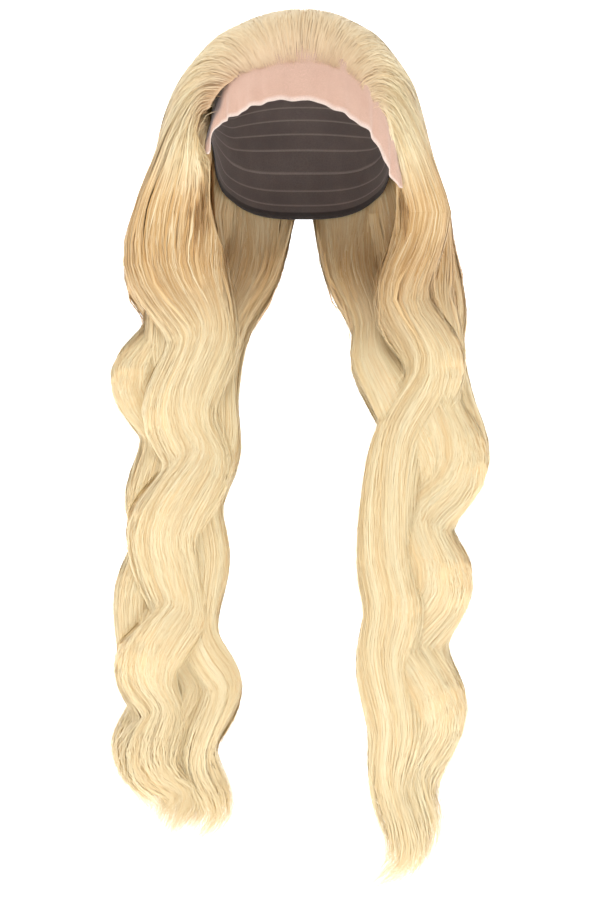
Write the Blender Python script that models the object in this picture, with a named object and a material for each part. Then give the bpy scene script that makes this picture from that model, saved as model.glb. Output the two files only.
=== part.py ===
"""A long body-wave lace front wig, held as it is worn. Metres, +Z up, face towards -Y.

The origin is the top of the head that the wig sits on, inside the crown of the cap.
Left and right are those of someone who looks at the face, so left is -X.
"""

from math import ceil, cos, pi, radians, sin

import bmesh
import bpy
from mathutils import Vector

# The head that the cap is made for, as a rounded box of this half size.
HEAD_HALF_WIDTH = 0.077
HEAD_HALF_DEPTH = 0.094
HEAD_HALF_HEIGHT = 0.108
HEAD_SQUARENESS = 2.5
NAPE_TUCK = 0.020
TUCK_SHARE = 0.7

# Cloth walls, and the clearances that keep the pieces apart.
LACE_WALL = 0.0010
CAP_WALL = 0.0010
SEAM_GAP = 0.0003
SEAM_GAP_ANGLE = 0.5
HAIR_CLEARANCE = 0.0013

# The ear to ear seam between lace and cap, as an angle over the crown from the face. At the
# temples the net's side panels come forward to a lower angle. Both reach the ear angle.
SEAM_ANGLE = 97
TEMPLE_SEAM_ANGLE = 48
TEMPLE_START = 44
EAR_ANGLE = 80
LIFT_ANGLE = 45

# The hair over the head, from its top to the flat hem where the falls carry on.
CROWN_TOP = 0.0162
CROWN_HEM = -0.156
CROWN_ROUNDNESS = 0.92
CROWN_RIDGES = 20
CROWN_RIDGE_HEIGHT = 0.0016

# How far back the opening round the face is cut, and the front end of every such cutter.
FACE_BACK = -0.012
CUT_FRONT = -0.300

# Mesh densities. Levels of the crown gather towards its top by a power.
CROWN_POINTS = 48
CROWN_LEVELS = 14
LEVEL_GATHER = 1.5
CAP_COLUMNS = 32
LACE_ROWS = 9
NET_ROWS = 10
HEAD_RINGS = 14
HEAD_RING_ANGLE = 6.2
HEAD_TURNS = 40
NECK_TURNS = 12
LOCK_SIDES = 8
LOCK_STEP = 0.0155

# The falls: where locks start inside the crown, and where they have come forward.
LOCK_TOP = -0.130
SETTLED = -0.330

# A lock's wave also swings from front to back, by this share, a quarter of a wave later.
SWAY_THROUGH = 0.35
WAVE_LENGTH = 0.100

# How much flatter than wide a thin lock is, and the least half depth of its tip.
TIP_FLATNESS = 0.75
TIP_DEPTH = 0.004

HAIR_BLONDE = (0.84, 0.68, 0.40, 1.0)
LACE_BEIGE = (0.80, 0.62, 0.52, 1.0)
NET_GREY = (0.20, 0.17, 0.17, 1.0)

# The free edge of the lace: degrees towards the ear, degrees above eye level, and how far
# the edge stands off the head.
LACE_EDGE = [
    # across, up, standing_off
    (-80, 34, 0.0010),
    (-73, 8, 0.0040),
    (-66, 2, 0.0060),
    (-58, 15, 0.0020),
    (-40, 16, 0.0008),
    (-20, 18, 0.0006),
    (0, 18, 0.0006),
    (20, 13, 0.0010),
    (40, 6, 0.0014),
    (58, -9, 0.0040),
    (68, -22, 0.0060),
    (74, -22, 0.0060),
    (80, 6, 0.0050),
]

# The free edge of the net cap, over the ear, behind it and round the nape.
CAP_EDGE = [
    # across, up
    (-80, 150),
    (-68, 188),
    (-45, 198),
    (0, 200),
    (45, 198),
    (68, 188),
    (80, 150),
]

# How far the hair over the head reaches from the middle, a row for each height.
CROWN_FORM = [
    # height, left, right, front, back
    (-0.190, 0.150, 0.126, 0.028, 0.092),
    (-0.150, 0.142, 0.123, 0.037, 0.106),
    (-0.110, 0.128, 0.111, 0.056, 0.117),
    (-0.070, 0.115, 0.099, 0.076, 0.119),
    (-0.044, 0.103, 0.090, 0.082, 0.109),
    (-0.019, 0.084, 0.073, 0.072, 0.091),
    (-0.006, 0.070, 0.061, 0.060, 0.076),
    (0.006, 0.047, 0.041, 0.043, 0.052),
    (0.013, 0.026, 0.023, 0.025, 0.030),
    (0.017, 0.003, 0.003, 0.003, 0.003),
]

# The hair's edge round the face as it is seen from the front, from the left of the neck over
# the hairline to the right of the neck.
FACE_EDGE = [
    # across, height
    (-0.052, -0.300),
    (-0.056, -0.181),
    (-0.067, -0.156),
    (-0.082, -0.131),
    (-0.088, -0.081),
    (-0.081, -0.055),
    (-0.064, -0.036),
    (-0.036, -0.026),
    (-0.007, -0.022),
    (0.036, -0.029),
    (0.056, -0.060),
    (0.063, -0.084),
    (0.073, -0.120),
    (0.074, -0.181),
    (0.056, -0.300),
]

# The room that the neck and jaw need inside the hair.
NECK_FORM = [
    # height, half_width, back
    (-0.300, 0.050, 0.046),
    (-0.240, 0.052, 0.050),
    (-0.180, 0.060, 0.058),
    (-0.120, 0.066, 0.070),
    (-0.100, 0.066, 0.070),
]

# The middle of the falls from front to back as they come over the shoulders.
FALL_BACK = [
    # height, back
    (-0.700, -0.048),
    (-0.550, -0.050),
    (-0.430, -0.040),
    (-0.330, -0.020),
    (-0.250, 0.002),
    (-0.150, 0.020),
]

# The locks. back is where each leaves the crown, layer its place from front (-) to back in
# its fall, depth its half thickness.
LOCKS = {
    # name: side, back, layer, depth
    "left_front": ("left", -0.012, -0.012, 0.0201),
    "left_middle": ("left", 0.022, 0.002, 0.018),
    "left_outer": ("left", 0.042, 0.012, 0.0201),
    "left_nape": ("left", 0.083, 0.000, 0.018),
    "left_back": ("left", 0.074, 0.022, 0.018),
    "right_front": ("right", -0.012, -0.012, 0.0191),
    "right_middle": ("right", 0.018, -0.004, 0.0201),
    "right_outer": ("right", 0.048, 0.012, 0.0201),
    "right_nape": ("right", 0.083, 0.000, 0.018),
    "right_back": ("right", 0.074, 0.022, 0.018),
}

# Every lock's folds, from its tip up: how far out from the middle of the face each crest of
# the body wave lies, and the lock's half width there.
FOLDS = {
    # height, out, width
    "left_front": [
        (-0.654, 0.108, 0.007),
        (-0.631, 0.100, 0.017),
        (-0.590, 0.128, 0.025),
        (-0.561, 0.116, 0.021),
        (-0.514, 0.127, 0.026),
        (-0.478, 0.101, 0.023),
        (-0.440, 0.109, 0.028),
        (-0.405, 0.113, 0.029),
        (-0.359, 0.086, 0.029),
        (-0.312, 0.101, 0.031),
        (-0.254, 0.083, 0.030),
        (-0.193, 0.105, 0.041),
        (-0.143, 0.100, 0.036),
    ],
    "left_middle": [
        (-0.662, 0.098, 0.006),
        (-0.629, 0.092, 0.016),
        (-0.583, 0.110, 0.021),
        (-0.546, 0.096, 0.022),
        (-0.500, 0.114, 0.024),
        (-0.455, 0.099, 0.025),
        (-0.400, 0.106, 0.025),
        (-0.330, 0.094, 0.025),
        (-0.270, 0.106, 0.026),
        (-0.200, 0.100, 0.028),
        (-0.143, 0.100, 0.030),
    ],
    "left_outer": [
        (-0.648, 0.110, 0.006),
        (-0.629, 0.118, 0.013),
        (-0.591, 0.136, 0.021),
        (-0.554, 0.120, 0.021),
        (-0.504, 0.131, 0.022),
        (-0.463, 0.132, 0.022),
        (-0.425, 0.118, 0.022),
        (-0.388, 0.123, 0.023),
        (-0.337, 0.111, 0.023),
        (-0.290, 0.133, 0.027),
        (-0.245, 0.109, 0.022),
        (-0.205, 0.124, 0.026),
        (-0.143, 0.112, 0.026),
    ],
    "left_nape": [
        (-0.667, 0.082, 0.006),
        (-0.647, 0.070, 0.013),
        (-0.620, 0.079, 0.016),
        (-0.587, 0.088, 0.017),
        (-0.540, 0.069, 0.019),
        (-0.494, 0.089, 0.019),
        (-0.434, 0.084, 0.024),
        (-0.388, 0.088, 0.022),
        (-0.347, 0.074, 0.022),
        (-0.301, 0.078, 0.024),
        (-0.250, 0.068, 0.022),
        (-0.205, 0.052, 0.030),
        (-0.143, 0.040, 0.034),
    ],
    "left_back": [
        (-0.610, 0.100, 0.008),
        (-0.540, 0.108, 0.020),
        (-0.480, 0.094, 0.023),
        (-0.420, 0.104, 0.023),
        (-0.360, 0.092, 0.024),
        (-0.300, 0.104, 0.025),
        (-0.240, 0.090, 0.026),
        (-0.143, 0.086, 0.030),
    ],
    "right_front": [
        (-0.703, 0.060, 0.004),
        (-0.690, 0.080, 0.010),
        (-0.662, 0.086, 0.016),
        (-0.614, 0.072, 0.018),
        (-0.566, 0.076, 0.024),
        (-0.514, 0.067, 0.024),
        (-0.470, 0.074, 0.025),
        (-0.438, 0.068, 0.024),
        (-0.392, 0.069, 0.023),
        (-0.338, 0.080, 0.024),
        (-0.278, 0.109, 0.024),
        (-0.224, 0.083, 0.022),
        (-0.168, 0.096, 0.022),
        (-0.143, 0.098, 0.024),
    ],
    "right_middle": [
        (-0.683, 0.106, 0.006),
        (-0.662, 0.098, 0.016),
        (-0.612, 0.084, 0.024),
        (-0.554, 0.105, 0.028),
        (-0.508, 0.080, 0.028),
        (-0.453, 0.110, 0.028),
        (-0.409, 0.094, 0.028),
        (-0.356, 0.124, 0.028),
        (-0.309, 0.108, 0.024),
        (-0.264, 0.112, 0.022),
        (-0.218, 0.103, 0.022),
        (-0.168, 0.106, 0.018),
        (-0.143, 0.102, 0.018),
    ],
    "right_outer": [
        (-0.650, 0.104, 0.007),
        (-0.616, 0.096, 0.016),
        (-0.554, 0.113, 0.021),
        (-0.504, 0.099, 0.020),
        (-0.453, 0.116, 0.023),
        (-0.409, 0.100, 0.022),
        (-0.351, 0.128, 0.025),
        (-0.301, 0.119, 0.022),
        (-0.262, 0.113, 0.021),
        (-0.226, 0.116, 0.021),
        (-0.168, 0.106, 0.020),
        (-0.143, 0.104, 0.020),
    ],
    "right_nape": [
        (-0.679, 0.100, 0.006),
        (-0.660, 0.090, 0.013),
        (-0.622, 0.082, 0.018),
        (-0.591, 0.098, 0.020),
        (-0.552, 0.108, 0.024),
        (-0.510, 0.084, 0.025),
        (-0.471, 0.088, 0.026),
        (-0.430, 0.085, 0.026),
        (-0.396, 0.101, 0.025),
        (-0.356, 0.108, 0.029),
        (-0.313, 0.082, 0.024),
        (-0.276, 0.061, 0.021),
        (-0.247, 0.059, 0.018),
        (-0.205, 0.046, 0.026),
        (-0.143, 0.040, 0.032),
    ],
    "right_back": [
        (-0.620, 0.084, 0.008),
        (-0.550, 0.094, 0.021),
        (-0.490, 0.082, 0.023),
        (-0.430, 0.098, 0.023),
        (-0.370, 0.094, 0.026),
        (-0.310, 0.096, 0.025),
        (-0.240, 0.086, 0.026),
        (-0.143, 0.080, 0.028),
    ],
}
SIDE_SIGN = {"left": -1, "right": 1}


def ease(share):
    """0 to 1, starting and ending gently."""
    share = min(max(share, 0.0), 1.0)
    return share * share * (3 - 2 * share)


def signed_power(value, power):
    return abs(value) ** power * (1 if value >= 0 else -1)


def read_table(rows, key):
    """The values of a table at a key in its first column, on a smooth curve through its rows."""
    key = min(max(key, rows[0][0]), rows[-1][0])
    i = next(n for n in range(len(rows) - 1) if key <= rows[n + 1][0])
    low, high = rows[i], rows[i + 1]
    before, after = rows[max(i - 1, 0)], rows[min(i + 2, len(rows) - 1)]
    span = high[0] - low[0]
    t = (key - low[0]) / span
    values = []
    for k in range(1, len(low)):
        slope_low = (high[k] - before[k]) / (high[0] - before[0]) * span
        slope_high = (after[k] - low[k]) / (after[0] - low[0]) * span
        values.append(
            low[k] * (2 * t**3 - 3 * t**2 + 1)
            + slope_low * (t**3 - 2 * t**2 + t)
            + high[k] * (3 * t**2 - 2 * t**3)
            + slope_high * (t**3 - t**2)
        )
    return values


def head_point(across, up, stand_off=0.0):
    """A point over the head: across from the middle to an ear, up from the face over the
    crown to the nape, both in degrees."""
    power = 2 / HEAD_SQUARENESS
    across, up = radians(across), radians(up)
    ring = signed_power(cos(across), power)
    point = Vector((
        (HEAD_HALF_WIDTH + stand_off) * signed_power(sin(across), power),
        -(HEAD_HALF_DEPTH + stand_off) * ring * signed_power(cos(up), power),
        (HEAD_HALF_HEIGHT + stand_off) * ring * signed_power(sin(up), power)
        - HEAD_HALF_HEIGHT,
    ))
    if point.y > 0:
        tucked = ease((-HEAD_HALF_HEIGHT - point.z) / (HEAD_HALF_HEIGHT * TUCK_SHARE))
        point.y *= 1 - NAPE_TUCK / HEAD_HALF_DEPTH * tucked
    return point


def new_material(name, colour, roughness):
    material = bpy.data.materials.new(name)
    material.use_nodes = True
    shader = material.node_tree.nodes["Principled BSDF"]
    shader.inputs["Base Color"].default_value = colour
    shader.inputs["Roughness"].default_value = roughness
    shader.inputs["Metallic"].default_value = 0.0
    return material


def new_object(name, make_shape, material=None):
    """An object whose mesh a function makes. One with no material is a cutter, and hidden."""
    shape = bmesh.new()
    make_shape(shape)
    bmesh.ops.recalc_face_normals(shape, faces=shape.faces)
    mesh = bpy.data.meshes.new(name)
    shape.to_mesh(mesh)
    shape.free()
    obj = bpy.data.objects.new(name, mesh)
    bpy.context.scene.collection.objects.link(obj)
    if material:
        mesh.materials.append(material)
    else:
        obj.hide_render = True
        obj.display_type = "WIRE"
    return obj


def add_boolean(obj, operation, other):
    modifier = obj.modifiers.new(other.name, "BOOLEAN")
    modifier.operation = operation
    modifier.solver = "EXACT"
    modifier.object = other
    return modifier


def skin_rings(shape, rings):
    """Joins rings of points, one after the other, into a closed tube with flat ends."""
    made = [[shape.verts.new(point) for point in ring] for ring in rings]
    loops = [
        [shape.edges.new(pair) for pair in zip(ring, ring[1:] + ring[:1])] for ring in made
    ]
    for above, below in zip(loops, loops[1:]):
        bmesh.ops.bridge_loops(shape, edges=above + below)
    shape.faces.new(made[0])
    shape.faces.new(made[-1])


def skin_sheet(shape, inner, outer):
    """A wall between two grids of points, closed round its edge."""
    rows, columns = len(inner), len(inner[0])
    layers = [[[shape.verts.new(p) for p in row] for row in grid] for grid in (inner, outer)]
    for layer in layers:
        for i in range(rows - 1):
            for j in range(columns - 1):
                shape.faces.new(
                    (layer[i][j], layer[i + 1][j], layer[i + 1][j + 1], layer[i][j + 1])
                )
    rim = [(0, j) for j in range(columns)]
    rim += [(i, columns - 1) for i in range(1, rows)]
    rim += [(rows - 1, j) for j in range(columns - 2, -1, -1)]
    rim += [(i, 0) for i in range(rows - 2, 0, -1)]
    for (i, j), (m, n) in zip(rim, rim[1:] + rim[:1]):
        shape.faces.new((layers[0][i][j], layers[0][m][n], layers[1][m][n], layers[1][i][j]))


def lace_lift(across, up):
    """How far the lace stands off the head, most at its free edge."""
    edge_up, stand_off = read_table(LACE_EDGE, across)
    return stand_off * ease(1 - (up - edge_up) / LIFT_ANGLE)


def seam_up(across):
    """Where the ear to ear seam lies."""
    forward = ease((abs(across) - TEMPLE_START) / (EAR_ANGLE - TEMPLE_START))
    return SEAM_ANGLE + (TEMPLE_SEAM_ANGLE - SEAM_ANGLE) * forward


def cap_wall(shape, edge, seam_gap, wall, lift, size):
    """One part of the cap, from its free edge to the ear to ear seam."""
    columns, rows = size
    grids = []
    for layer in (0.0, wall):
        grid = []
        for i in range(columns + 1):
            across = EAR_ANGLE * (2 * i / columns - 1)
            edge_up = read_table(edge, across)[0]
            seam = seam_up(across) + seam_gap
            line = []
            for j in range(rows + 1):
                up = edge_up + (seam - edge_up) * j / rows
                line.append(head_point(across, up, lift(across, up) + layer))
            grid.append(line)
        grids.append(grid)
    skin_sheet(shape, *grids)


def lace_wall(shape):
    cap_wall(shape, LACE_EDGE, 0.0, LACE_WALL, lace_lift, (CAP_COLUMNS, LACE_ROWS))


def net_wall(shape):
    cap_wall(shape, CAP_EDGE, SEAM_GAP_ANGLE, CAP_WALL, lace_lift, (CAP_COLUMNS, NET_ROWS))


def crown_point(turn, height, proud=0.0):
    """A point on the hair over the head. turn runs from the face (0) by the right (90) to the
    nape (180), in degrees."""
    left, right, front, back = read_table(CROWN_FORM, height)
    turn = radians(turn)
    reach_x = right if sin(turn) > 0 else left
    reach_y = front if cos(turn) > 0 else back
    return Vector((
        (reach_x + proud) * signed_power(sin(turn), CROWN_ROUNDNESS),
        -(reach_y + proud) * signed_power(cos(turn), CROWN_ROUNDNESS),
        height,
    ))


def crown_form(shape):
    """The outer form of the hair over the head, ridged along the combing."""
    rings = []
    for level in range(CROWN_LEVELS + 1):
        share = level / CROWN_LEVELS
        height = CROWN_TOP - (CROWN_TOP - CROWN_HEM) * share**LEVEL_GATHER
        ring = []
        for i in range(CROWN_POINTS):
            turn = 360 * i / CROWN_POINTS
            ridge = CROWN_RIDGE_HEIGHT * sin(CROWN_RIDGES * radians(turn)) * ease(share * 2)
            ring.append(crown_point(turn, height, ridge))
        rings.append(ring)
    skin_rings(shape, rings)


def head_form(shape):
    """The head in its cap, which hollows the hair. It leaves room for the lifted lace."""
    clear = max(LACE_WALL, CAP_WALL) + HAIR_CLEARANCE
    rings = []
    for i in range(-HEAD_RINGS, HEAD_RINGS + 1):
        across = HEAD_RING_ANGLE * i
        ring = []
        for k in range(HEAD_TURNS):
            up = 360 * k / HEAD_TURNS - 90
            ring.append(head_point(across, up, clear + lace_lift(across, up)))
        rings.append(ring)
    skin_rings(shape, rings)


def face_form(shape):
    """The opening round the face, cut straight through from the front."""
    rings = []
    for back in (CUT_FRONT, FACE_BACK):
        rings.append([Vector((across, back, height)) for across, height in FACE_EDGE])
    skin_rings(shape, rings)


def neck_form(shape):
    """The room for the neck, open to the front and below."""
    rings = []
    for height, half_width, back in NECK_FORM:
        ring = []
        for k in range(NECK_TURNS + 1):
            turn = pi * k / NECK_TURNS
            ring.append(Vector((half_width * cos(turn), back * sin(turn), height)))
        ring.append(Vector((-half_width, CUT_FRONT, height)))
        ring.append(Vector((half_width, CUT_FRONT, height)))
        rings.append(ring)
    skin_rings(shape, rings)


def lock_centre(name, height):
    """The middle of a lock at a height."""
    side, start_back, layer, _ = LOCKS[name]
    out, _ = read_table(FOLDS[name], height)
    fall_back = read_table(FALL_BACK, height)[0] + layer
    settle = ease((LOCK_TOP - height) / (LOCK_TOP - SETTLED))
    swing = read_table(FOLDS[name], height + WAVE_LENGTH / 4)[0] - out
    back = start_back + (fall_back - start_back) * settle + SWAY_THROUGH * swing * settle
    return Vector((SIDE_SIGN[side] * out, back, height))


def lock_tube(shape, name):
    """One lock of hair, a flattened tube that follows its body wave and thins to its tip."""
    tip = FOLDS[name][0][0]
    half_depth = LOCKS[name][3]
    steps = ceil((LOCK_TOP - tip) / LOCK_STEP)
    heights = [LOCK_TOP + (tip - LOCK_TOP) * i / steps for i in range(steps + 1)]
    centres = [lock_centre(name, height) for height in heights]
    rings = []
    for i, centre in enumerate(centres):
        along = (centres[min(i + 1, steps)] - centres[max(i - 1, 0)]).normalized()
        level = Vector((1, 0, 0))
        square = (level - along * level.dot(along)).normalized()
        across = (level + square).normalized()
        through = along.cross(across).normalized()
        half_width = read_table(FOLDS[name], heights[i])[1]
        thin = min(half_depth, TIP_FLATNESS * half_width + TIP_DEPTH)
        ring = []
        for k in range(LOCK_SIDES):
            turn = 2 * pi * (k + 0.5) / LOCK_SIDES
            ring.append(centre + across * half_width * cos(turn) + through * thin * sin(turn))
        rings.append(ring)
    skin_rings(shape, rings)


def below_hem(shape):
    """Everything below the crown's hem, less the seam's gap."""
    bmesh.ops.create_cube(shape, size=1.0)
    bmesh.ops.translate(shape, verts=shape.verts, vec=(0, 0, CROWN_HEM - SEAM_GAP - 0.5))


def hair_crown(material):
    crown = new_object("hair_crown", crown_form, material)
    for name, make_shape in (("head", head_form), ("face", face_form), ("neck", neck_form)):
        add_boolean(crown, "DIFFERENCE", new_object(f"room_for_{name}", make_shape))


def hair_fall(side, material):
    """All the locks of one side, joined where they cross and cut off flat at the hem."""
    def locks(shape):
        for name in LOCKS:
            if LOCKS[name][0] == side:
                lock_tube(shape, name)

    fall = new_object(f"hair_fall_{side}", locks, material)
    add_boolean(fall, "INTERSECT", bpy.data.objects["below_hem"]).use_self = True


def main():
    for obj in list(bpy.data.objects):
        bpy.data.objects.remove(obj)
    new_object("lace_front", lace_wall, new_material("lace", LACE_BEIGE, 0.8))
    new_object("net_cap", net_wall, new_material("net", NET_GREY, 0.85))
    hair = new_material("hair", HAIR_BLONDE, 0.5)
    hair_crown(hair)
    new_object("below_hem", below_hem)
    for side in SIDE_SIGN:
        hair_fall(side, hair)


main()
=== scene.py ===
"""The looks of a long body-wave lace front wig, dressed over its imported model. Metres, +Z up,
face towards -Y. Left and right are those of someone who looks at the face, so left is -X."""

from math import atan, radians

import bmesh
import bpy
import numpy as np
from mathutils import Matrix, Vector


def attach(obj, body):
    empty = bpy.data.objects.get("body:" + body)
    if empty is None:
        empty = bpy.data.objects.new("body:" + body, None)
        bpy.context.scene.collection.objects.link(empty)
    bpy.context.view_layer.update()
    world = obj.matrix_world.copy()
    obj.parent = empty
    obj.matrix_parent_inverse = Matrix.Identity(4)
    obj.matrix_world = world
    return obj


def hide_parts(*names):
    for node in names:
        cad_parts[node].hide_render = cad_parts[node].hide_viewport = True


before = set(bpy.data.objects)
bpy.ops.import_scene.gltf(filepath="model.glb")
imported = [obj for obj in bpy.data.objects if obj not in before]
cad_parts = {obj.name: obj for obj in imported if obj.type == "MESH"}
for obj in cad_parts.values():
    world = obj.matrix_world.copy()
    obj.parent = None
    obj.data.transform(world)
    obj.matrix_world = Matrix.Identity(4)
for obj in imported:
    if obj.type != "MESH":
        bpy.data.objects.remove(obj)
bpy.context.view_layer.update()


# The stretch net cap. Behind the lace a dark, elastic net closes over the back of the head,
# from ear to ear and down to the nape, and rows of weft are sewn to its outside.
HEAD_HALF = (0.077, 0.094, 0.108)
HEAD_SQUARENESS = 2.5
NAPE_TUCK = 0.020
NAPE_SHARE = 0.7
SEAM_ANGLE = 97
TEMPLE_SEAM_ANGLE = 48
TEMPLE_START = 44
EAR_ANGLE = 80
SEAM_GAP_ANGLE = 0.5
CLOTH = 0.0007
LIFT_ANGLE = 45
THREAD_EDGE = (0.04, 0.16)
LONG_RUFFLE = 23
SHORT_RUFFLE = 41
SHORT_RUFFLE_SIZE = 0.6
RUFFLE_FADE = 6
LACE_EDGE = [
    # across, up, standing_off
    (-80, 34, 0.0010),
    (-73, 8, 0.0040),
    (-66, 2, 0.0060),
    (-58, 15, 0.0020),
    (-40, 16, 0.0008),
    (-20, 18, 0.0006),
    (0, 18, 0.0006),
    (20, 13, 0.0010),
    (40, 6, 0.0014),
    (58, -9, 0.0040),
    (68, -22, 0.0060),
    (74, -22, 0.0060),
    (80, 6, 0.0050),
]
CAP_EDGE = [
    # across, up
    (-80, 150),
    (-68, 188),
    (-45, 198),
    (0, 200),
    (45, 198),
    (68, 188),
    (80, 150),
]


def ease(share):
    share = np.clip(share, 0.0, 1.0)
    return share * share * (3 - 2 * share)


def rise(value, start, end):
    """0 before start, 1 past end and smooth between them. start may be higher than end."""
    return ease((value - start) / (end - start))


def together(*parts):
    """Points, or places on a map, from parts that may each run along one way of a grid only."""
    return np.stack(np.broadcast_arrays(*parts), axis=-1)


def signed_power(value, power):
    return np.sign(value) * np.abs(value) ** power


def read_table(rows, keys):
    """The values of a table at many keys in its first column, on a smooth curve."""
    rows = np.array(rows, dtype=float)
    x, y = rows[:, 0], rows[:, 1:]
    last = len(x) - 1
    low = np.clip(np.searchsorted(x, keys) - 1, 0, last - 1)
    before, after = np.maximum(low - 1, 0), np.minimum(low + 2, last)
    span = (x[low + 1] - x[low])[..., None]
    t = np.clip((keys - x[low]) / span[..., 0], 0, 1)[..., None]
    slope_low = (y[low + 1] - y[before]) / (x[low + 1] - x[before])[..., None] * span
    slope_high = (y[after] - y[low]) / (x[after] - x[low])[..., None] * span
    return (
        y[low] * (2 * t**3 - 3 * t**2 + 1)
        + slope_low * (t**3 - 2 * t**2 + t)
        + y[low + 1] * (3 * t**2 - 2 * t**3)
        + slope_high * (t**3 - t**2)
    )


def nape_tuck(below):
    """What is left of the depth of the back of the head, below its widest level."""
    return 1 - NAPE_TUCK / HEAD_HALF[1] * ease(below / (HEAD_HALF[2] * NAPE_SHARE))


def head_point(across, up, stand_off):
    """Points over the head: across from the middle to an ear, up from the face over the crown
    to the nape, in degrees."""
    power = 2 / HEAD_SQUARENESS
    across, up = np.radians(across), np.radians(up)
    ring = signed_power(np.cos(across), power)
    x = (HEAD_HALF[0] + stand_off) * signed_power(np.sin(across), power)
    y = -(HEAD_HALF[1] + stand_off) * ring * signed_power(np.cos(up), power)
    z = (HEAD_HALF[2] + stand_off) * ring * signed_power(np.sin(up), power) - HEAD_HALF[2]
    y = np.where(y > 0, y * nape_tuck(-HEAD_HALF[2] - z), y)
    return together(x, y, z)


def seam_up(across):
    """How far up the seam between lace and net lies. It runs forward towards the temples."""
    forward = rise(np.abs(across), TEMPLE_START, EAR_ANGLE)
    return SEAM_ANGLE + (TEMPLE_SEAM_ANGLE - SEAM_ANGLE) * forward


def lace_lift(across, up):
    """How far the cloth stands off the head. It lies down behind the lace's free edge."""
    edge_up, stand_off = np.moveaxis(read_table(LACE_EDGE, across), -1, 0)
    return stand_off * ease(1 - (up - edge_up) / LIFT_ANGLE)


def grid_object(name, points, material, uv=None, closed=False):
    """A smooth sheet through a grid of points. closed joins the last row to the first."""
    rows, columns = points.shape[:2]
    shape = bmesh.new()
    bmesh.ops.create_grid(shape, x_segments=columns - 1, y_segments=rows - 1, size=0.5)
    order = sorted(shape.verts, key=lambda v: (round(v.co.y, 6), round(v.co.x, 6)))
    layer = shape.loops.layers.uv.new("OFBake")
    spot = {v: (i // columns, i % columns) for i, v in enumerate(order)}
    for face in shape.faces:
        for loop in face.loops:
            i, j = spot[loop.vert]
            loop[layer].uv = (j / (columns - 1), i / (rows - 1)) if uv is None else uv[i, j]
    for vert, point in zip(order, points.reshape(-1, 3)):
        vert.co = point
    if closed:
        bmesh.ops.remove_doubles(shape, verts=shape.verts, dist=1e-6)
    bmesh.ops.recalc_face_normals(shape, faces=shape.faces)
    mesh = bpy.data.meshes.new(name)
    shape.to_mesh(mesh)
    shape.free()
    mesh.shade_smooth()
    mesh.materials.append(material)
    obj = bpy.data.objects.new(name, mesh)
    bpy.context.scene.collection.objects.link(obj)
    return obj


def graded(nodes, links, value, span, result, way="LINEAR"):
    """A node output that goes from one result to another while a value goes through a span."""
    step = nodes.new("ShaderNodeMapRange")
    step.interpolation_type = way
    for name, number in zip(("From Min", "From Max", "To Min", "To Max"), (*span, *result)):
        step.inputs[name].default_value = number
    links.new(value, step.inputs["Value"])
    return step.outputs["Result"]


def smooth_step(nodes, links, value, low, high):
    """A node output that goes from 0 to 1 as a value goes from low to high, or falls if low
    is the higher."""
    result = (0, 1) if low < high else (1, 0)
    return graded(nodes, links, value, sorted((low, high)), result, "SMOOTHSTEP")


def tint(nodes, links, colour, other, share):
    """A node output that turns a colour into another by a share, from 0 to 1."""
    mix = nodes.new("ShaderNodeMix")
    mix.data_type = "RGBA"
    mix.inputs["B"].default_value = (*other, 1)
    links.new(share, mix.inputs["Factor"])
    links.new(colour, mix.inputs["A"])
    return mix.outputs["Result"]


def combine(nodes, links, operation, one, two):
    """A node output worked out from two values, each of them an output or a float."""
    math = nodes.new("ShaderNodeMath")
    math.operation = operation
    for socket, value in zip(math.inputs, (one, two)):
        if isinstance(value, float):
            socket.default_value = value
        else:
            links.new(value, socket)
    return math.outputs["Value"]


def plain_colour(nodes, colour):
    plain = nodes.new("ShaderNodeRGB")
    plain.outputs["Color"].default_value = (*colour, 1)
    return plain.outputs["Color"]


def mapped_material(name):
    """A new material, its nodes, links and shader, and the place on the piece's own map, both
    whole and split into its parts."""
    material = bpy.data.materials.new(name)
    material.use_nodes = True
    nodes, links = material.node_tree.nodes, material.node_tree.links
    place = nodes.new("ShaderNodeUVMap")
    place.uv_map = "OFBake"
    apart = nodes.new("ShaderNodeSeparateXYZ")
    links.new(place.outputs["UV"], apart.inputs["Vector"])
    return material, nodes, links, nodes["Principled BSDF"], place.outputs["UV"], apart.outputs


def cloth_material(name, colour, other_colour, alpha, hole_alpha, cells, add_marks):
    """A net of threads and holes on the sheet's own map, coloured a little unevenly. On the
    map, X runs from the free edge to the seam and Y from ear to ear."""
    material, nodes, links, shader, place, apart = mapped_material(name)
    shader.inputs["Roughness"].default_value = 0.75
    shader.inputs["Sheen Weight"].default_value = 0.25
    shader.inputs["Specular IOR Level"].default_value = 0.25
    net = nodes.new("ShaderNodeTexVoronoi")
    net.feature = "DISTANCE_TO_EDGE"
    net.inputs["Scale"].default_value = cells
    links.new(place, net.inputs["Vector"])
    threads = graded(nodes, links, net.outputs["Distance"], THREAD_EDGE, (alpha, hole_alpha))
    links.new(threads, shader.inputs["Alpha"])
    uneven = nodes.new("ShaderNodeTexNoise")
    uneven.inputs["Scale"].default_value = 9
    uneven.inputs["Detail"].default_value = 5
    links.new(place, uneven.inputs["Vector"])
    base = tint(nodes, links, plain_colour(nodes, colour), other_colour, uneven.outputs["Fac"])
    base = add_marks(nodes, links, base, apart["X"], apart["Y"])
    links.new(base, shader.inputs["Base Color"])
    bump = nodes.new("ShaderNodeBump")
    bump.inputs["Strength"].default_value = 0.4
    bump.inputs["Distance"].default_value = 0.0003
    links.new(net.outputs["Distance"], bump.inputs["Height"])
    links.new(bump.outputs["Normal"], shader.inputs["Normal"])
    return material


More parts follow.
